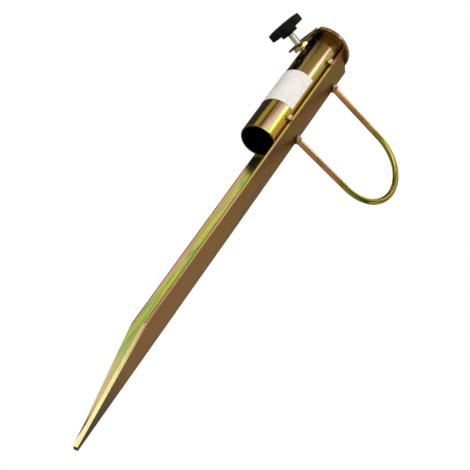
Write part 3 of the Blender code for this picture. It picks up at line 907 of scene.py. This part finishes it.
def angle_steel():
    """Brown, olive and plum outside, with long bright rainbow streaks inside the V."""
    shader = plated("plated_angle", 0.25)
    shader.bsdf.inputs["Specular Tint"].default_value = ANGLE_SHEEN
    _, y, z = shader.split(shader.place)
    off_middle = shader.math("ABSOLUTE", y)
    low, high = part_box("spike_angle")

    blotch = shader.noise((42, 42, 11), detail=5, roughness=0.6, distortion=0.7)
    outside = shader.ramp(blotch, OUTSIDE_PATCHES)
    below_top = shader.step(z, 0.0, -0.22)
    above_point = shader.step(z, low.z, low.z + 0.1)
    light_film = shader.math("MULTIPLY", below_top, above_point)
    outside = shader.mix(shader.math("MULTIPLY", light_film, 0.5), outside, TAN)
    near_point = shader.step(z, low.z + 0.8 * NEAR_TAPER_LENGTH, low.z)
    outside = shader.mix(shader.math("MULTIPLY", near_point, 0.92), outside, TEAL)
    heel = shader.step(off_middle, 0.0040, 0.0)
    outside = shader.mix(shader.math("MULTIPLY", heel, 0.6), outside, PLUM)

    streaks = shader.noise((120, 120, 8), detail=4, roughness=0.55, distortion=0.7)
    warm = shader.ramp(streaks, WARM_STREAKS)
    cool = shader.ramp(streaks, COOL_STREAKS)
    across = shader.math("MULTIPLY", off_middle, 1 / high.y)
    wander = shader.noise((30, 30, 12), detail=3)
    edge_side = shader.math("MULTIPLY_ADD", shader.math("SUBTRACT", wander, 0.5), 0.5, across)
    past_root = shader.step(edge_side, 0.34, 0.52)
    before_toe = shader.step(edge_side, 0.80, 0.62)
    inside = shader.mix(shader.math("MULTIPLY", past_root, before_toe), warm, cool)
    pale_end = shader.step(z, low.z + FAR_TAPER_LENGTH, low.z + 0.3 * FAR_TAPER_LENGTH)
    inside = shader.mix(shader.math("MULTIPLY", pale_end, 0.7), inside, STRAW)

    normal = shader.node("ShaderNodeTexCoord").outputs["Normal"]
    facing_in = shader.step(shader.math("MULTIPLY", shader.split(normal)[0], -1.0), 0.2, 0.6)
    shader.colour(shader.mix(facing_in, outside, inside))
    return shader.material


def tube_steel():
    """Rainbow film bands that climb the tube in a slow spiral, with a painted highlight and a painted dark
    reflection among them, painted shade dimming them towards the top, and the bore painted near black for shade.
    """
    shader = plated("plated_tube", 0.18, relief=0.025)
    x, y, z = shader.split(shader.place)
    around = shader.math("DIVIDE", shader.math("ARCTAN2", y, x), FULL_TURN)
    drift = shader.noise((30, 30, 9), detail=3, distortion=0.5)
    fine = shader.noise((170, 170, 20), detail=3)
    turns = shader.math("MULTIPLY_ADD", z, -BAND_CLIMB, around)
    turns = shader.math("MULTIPLY_ADD", shader.math("SUBTRACT", drift, 0.5), BAND_DRIFT, turns)
    turns = shader.math("MULTIPLY_ADD", shader.math("SUBTRACT", fine, 0.5), BAND_FRAY, turns)
    bands = shader.ramp(shader.math("FRACT", shader.math("ADD", turns, 0.5)), TUBE_BANDS)
    # Painted shade dims the bands, the painted highlight with them, towards the top
    height = shader.math("MULTIPLY_ADD", drift, TOP_PAINTED_SHADE_DRIFT, z)
    near_top = shader.step(height, TOP_PAINTED_SHADE_START, TOP_PAINTED_SHADE_END)
    bands = shader.mix(shader.math("MULTIPLY", near_top, TOP_PAINTED_SHADE), bands, BRONZE)
    # The bore inside the wall's skin is painted near black as shade
    squares = shader.math("ADD", shader.math("POWER", x, 2.0), shader.math("POWER", y, 2.0))
    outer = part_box("socket_tube")[1].x
    in_skin = (outer - 0.7 * TUBE_WALL, outer - 0.4 * TUBE_WALL)
    skin = shader.step(shader.math("SQRT", squares), *in_skin)
    shader.colour(shader.mix(skin, BORE_PAINTED_SHADE, bands))
    return shader.material


def handle_steel():
    """Copper on the legs, turning to lime and gold round the bend."""
    shader = plated("plated_handle", 0.2)
    x = shader.split(shader.place)[0]
    drift = shader.noise((45, 45, 45), detail=3, distortion=0.5)
    along = shader.math("MULTIPLY_ADD", shader.math("SUBTRACT", drift, 0.5), HANDLE_DRIFT, x)
    low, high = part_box("handle_bar")
    shader.colour(shader.ramp(shader.step(along, low.x, high.x), HANDLE_FILM))
    return shader.material


def plain_plated(name, tones, roughness):
    """Plated steel of two tones, for the small pieces."""
    shader = plated(name, roughness)
    patches = shader.noise((140, 140, 140), detail=4, distortion=0.4)
    shader.colour(shader.ramp(patches, list(zip((0.35, 0.65), tones))))
    return shader.material


def knob_plastic():
    """Black moulded plastic with a fine spark-eroded grain."""
    shader = Shader("knob_plastic", 0.5, 0.0)
    shader.bsdf.inputs["Specular IOR Level"].default_value = 0.07
    grain = shader.noise((1800, 1800, 1800), detail=2)
    wear = shader.noise((120, 120, 120), detail=4)
    shader.bump(grain, 0.18, KNOB_RELIEF)
    shader.roughness(shader.between(wear, 0.42, 0.60))
    shader.colour(shader.ramp(wear, list(zip((0.3, 0.7), KNOB_TONES))))
    return shader.material


def label_paper():
    """Off-white coated paper, a little wavy, with a faint fibre."""
    shader = Shader("label_paper", 0.55, 0.0)
    fibre = shader.noise((900, 900, 400), detail=5)
    waves = shader.noise((60, 60, 45), detail=2)
    shader.bump(shader.math("MULTIPLY_ADD", waves, 3.0, fibre), 0.12, LABEL_RELIEF)
    shader.colour(shader.ramp(waves, list(zip((0.3, 0.7), LABEL_TONES))))
    return shader.material


def make_pieces():
    """Makes a detailed, finished piece for every node of the frame."""
    make_tube(tube_steel())
    make_collar(plain_plated("plated_collar", COLLAR_TONES, 0.2))
    make_angle(angle_steel())
    make_handle(handle_steel())
    # The lug's dark material is painted shade
    make_lug(plain_plated("plated_lug_painted_shade", LUG_PAINTED_SHADE_TONES, 0.3))
    make_nut(plain_plated("plated_nut", NUT_TONES, 0.24))
    screw = plain_plated("plated_screw", SCREW_TONES, 0.26)
    make_rod(screw)
    make_point(screw)
    make_knob(knob_plastic())
    make_label(label_paper())
    bead = plain_plated("plated_weld", WELD_TONES, 0.28)
    # Painted shade for the welds that sit in shadow; the tube's tacks keep the plain bead
    painted_shade_bead = plain_plated("plated_weld_painted_shade", WELD_PAINTED_SHADE_TONES, 0.35)
    for node in BODY_OF:
        if node.startswith("weld_"):
            make_bead(node, bead if node.startswith("weld_tube") else painted_shade_bead)


make_camera()
make_studio()
make_pieces()
bpy.context.scene.view_settings.view_transform = "Standard"
